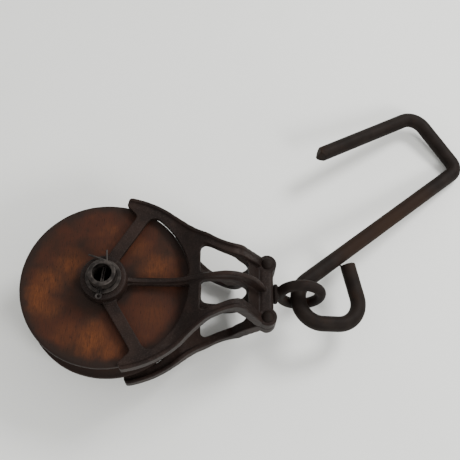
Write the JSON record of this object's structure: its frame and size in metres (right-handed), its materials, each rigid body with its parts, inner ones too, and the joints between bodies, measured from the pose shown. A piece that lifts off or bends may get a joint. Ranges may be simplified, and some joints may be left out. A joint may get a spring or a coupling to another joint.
{
  "type": "single sheave block",
  "caption": "Barn pulley block: one wooden grooved sheave between open cast cheeks, with a swivel eye and a bent round-bar beam hanger.",
  "frame": {"origin": "centre of the sheave, on the axle's axis and midway between the cheeks", "axes": "+Z along the axle towards the front cheek, +X from the sheave towards the swivel eye, +Y towards the free leg of the hanger"},
  "size_m": [0.4653, 0.3217, 0.121],
  "materials": {
    "casting": "old black-brown paint and grease over rough sand casting",
    "axle_steel": "dark oiled steel, worn at the rim",
    "pin_steel": "dull grey wire",
    "rivet_iron": "hammered heads under the same dark coat as the cheeks",
    "sheave_wood": "oil-dark hardwood with amber worn patches",
    "bush_iron": "plain greased iron",
    "forged_iron": "dark forged iron with brown rust inside the eye",
    "hanger_bar": "dark bar with brown rust along the long leg"
  },
  "bodies": {
    "block": {"front_cheek": "casting", "rear_cheek": "casting", "axle": "axle_steel", "front_washer": "axle_steel", "rear_washer": "axle_steel", "front_split_pin": "pin_steel", "rear_split_pin": "pin_steel", "near_head_rivet": "rivet_iron", "far_head_rivet": "rivet_iron"},
    "wheel": {"sheave": "sheave_wood", "sheave_bush": "bush_iron"},
    "swivel": {"swivel_eye": "forged_iron", "swivel_burr": "forged_iron"},
    "beam_hanger": {"hanger": "hanger_bar"}
  },
  "joints": [
    {"name": "sheave_spin", "type": "hinge", "parent": "block", "child": "wheel", "pos_m": [0, 0, 0], "axis": [0, 0, 1], "continuous": true},
    {"name": "eye_swivel", "type": "hinge", "parent": "block", "child": "swivel", "pos_m": [0.155, 0, 0], "axis": [1, 0, 0], "continuous": true},
    {"name": "hanger_swing", "type": "hinge", "parent": "swivel", "child": "beam_hanger", "pos_m": [0.18807, -0.0015, -0.00568], "axis": [0, 1, 0], "range_deg": [-120, 90]}
  ]
}
